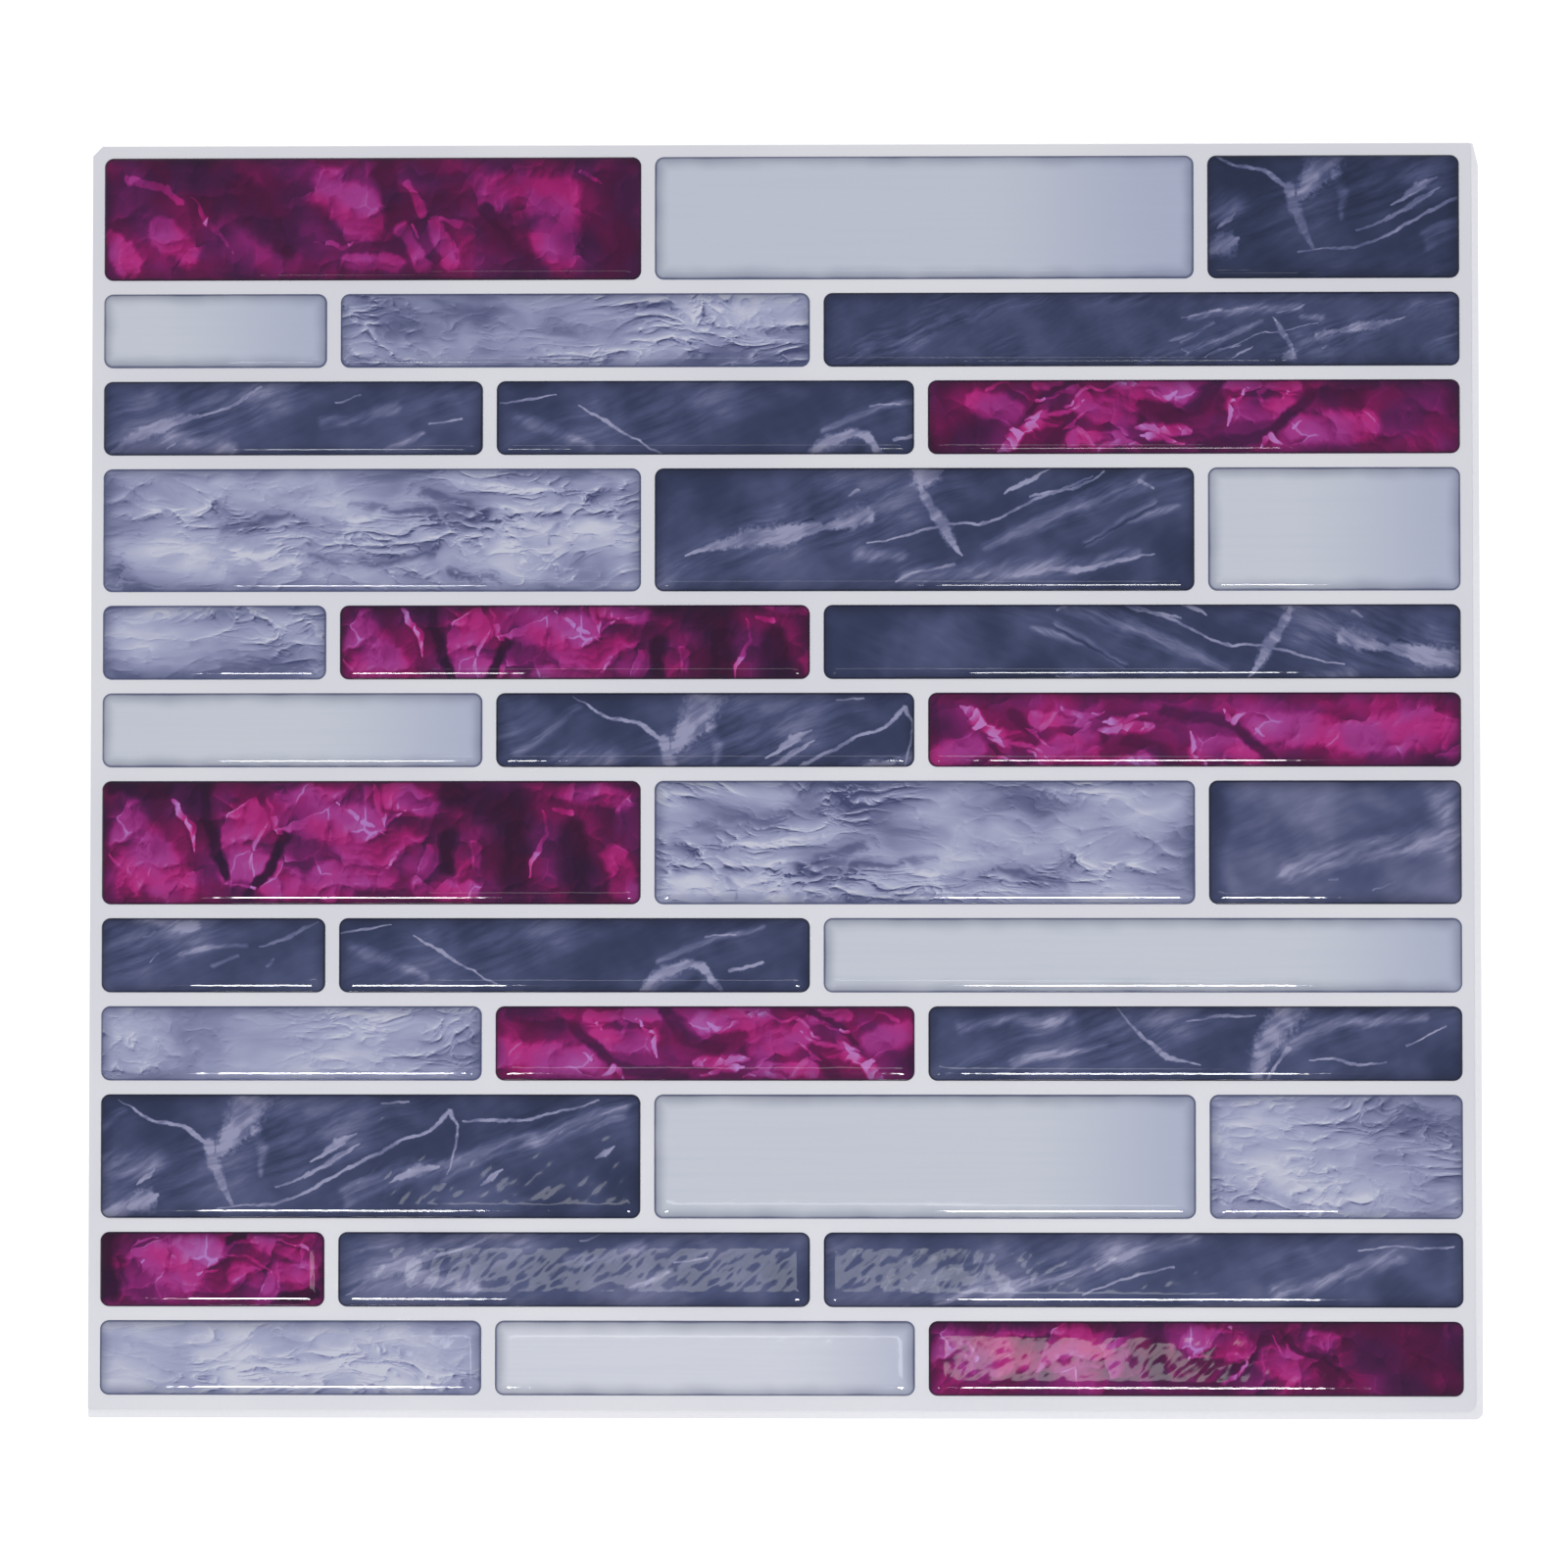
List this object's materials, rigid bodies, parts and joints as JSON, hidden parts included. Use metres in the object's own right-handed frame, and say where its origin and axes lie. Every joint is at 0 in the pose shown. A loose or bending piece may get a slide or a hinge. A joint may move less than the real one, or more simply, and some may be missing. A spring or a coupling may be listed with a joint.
{
  "type": "peel and stick backsplash tile",
  "caption": "Flexible self-adhesive backsplash sheet: domed gel tiles in offset courses on a white printed film, with a release liner under it.",
  "frame": {"origin": "middle of the underside of the release liner", "axes": "+X along the courses to the right, +Y towards the top course, +Z out of the decorated face"},
  "size_m": [0.3048, 0.2794, 0.002],
  "materials": {
    "liner": "white glazed release paper",
    "film": "white satin vinyl film, printed, adhesive back",
    "plum": "clear domed gel over a dark plum crystal print",
    "pale": "clear domed gel over a pale blue-grey brushed print",
    "slate": "clear domed gel over a navy slate print with slanting veins",
    "marble": "clear domed gel over a blue-grey marble print"
  },
  "bodies": {
    "root": {"release_liner": "liner", "printed_film": "film", "tile_row01_left": "plum", "tile_row01_middle": "pale", "tile_row01_right": "slate", "tile_row02_left": "pale", "tile_row02_middle": "marble", "tile_row02_right": "slate", "tile_row03_left": "slate", "tile_row03_middle": "slate", "tile_row03_right": "plum", "tile_row04_left": "marble", "tile_row04_middle": "slate", "tile_row04_right": "pale", "tile_row05_left": "marble", "tile_row05_middle": "plum", "tile_row05_right": "slate", "tile_row06_left": "pale", "tile_row06_middle": "slate", "tile_row06_right": "plum", "tile_row07_left": "plum", "tile_row07_middle": "marble", "tile_row07_right": "slate", "tile_row08_left": "slate", "tile_row08_middle": "slate", "tile_row08_right": "pale", "tile_row09_left": "marble", "tile_row09_middle": "plum", "tile_row09_right": "slate", "tile_row10_left": "slate", "tile_row10_middle": "pale", "tile_row10_right": "marble", "tile_row11_left": "plum", "tile_row11_middle": "slate", "tile_row11_right": "slate", "tile_row12_left": "marble", "tile_row12_middle": "pale", "tile_row12_right": "plum"}
  },
  "joints": []
}
